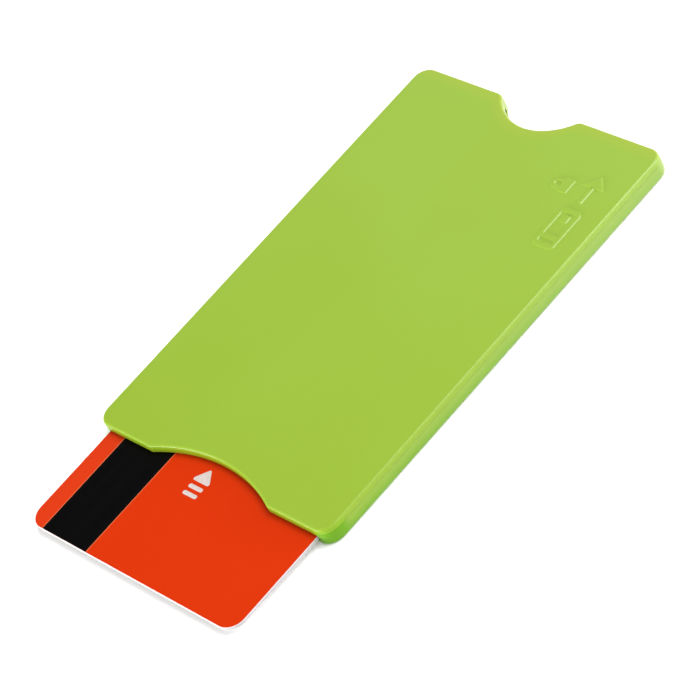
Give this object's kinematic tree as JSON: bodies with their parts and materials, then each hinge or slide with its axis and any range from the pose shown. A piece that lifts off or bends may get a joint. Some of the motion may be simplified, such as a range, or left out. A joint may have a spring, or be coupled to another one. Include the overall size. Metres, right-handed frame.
{
  "type": "rfid card sleeve",
  "caption": "Rigid two-shell plastic sleeve that holds and shields one payment-size card, with a mouth arc, a thumb notch and the card sliding in and out.",
  "frame": {"origin": "centre of the sleeve's flat underside", "axes": "+X across the sleeve, away from the card's magnetic stripe; +Y along the sleeve, from the mouth to the closed end; +Z from the underside to the front face"},
  "size_m": [0.06, 0.109, 0.0038],
  "materials": {
    "front_abs": "satin light green moulded ABS",
    "rear_abs": "satin light green moulded ABS",
    "shield_foil": "thin rolled foil",
    "pocket_liner": "thin matt film",
    "card_face": "satin printed laminate, orange",
    "magnetic_stripe": "satin black oxide band",
    "card_core": "white PVC sheet",
    "card_inlay": "translucent PVC sheet",
    "antenna_track": "etched copper track",
    "chip_contacts": "gold-plated contact plate",
    "card_reverse": "satin printed laminate, off-white"
  },
  "bodies": {
    "sleeve": {"front_shell": "front_abs", "rear_shell": "rear_abs", "front_shield_foil": "shield_foil", "rear_shield_foil": "shield_foil", "front_pocket_liner": "pocket_liner", "rear_pocket_liner": "pocket_liner"},
    "card": {"card_face_film": "card_face", "magnetic_stripe": "magnetic_stripe", "card_face_core": "card_core", "antenna_inlay": "card_inlay", "antenna_coil": "antenna_track", "chip_module": "chip_contacts", "card_reverse_core": "card_core", "card_reverse_film": "card_reverse"}
  },
  "joints": [
    {"name": "card_slide", "type": "slide", "parent": "sleeve", "child": "card", "axis": [0, -1, 0], "range_m": [-0.0218, 0.07]}
  ]
}
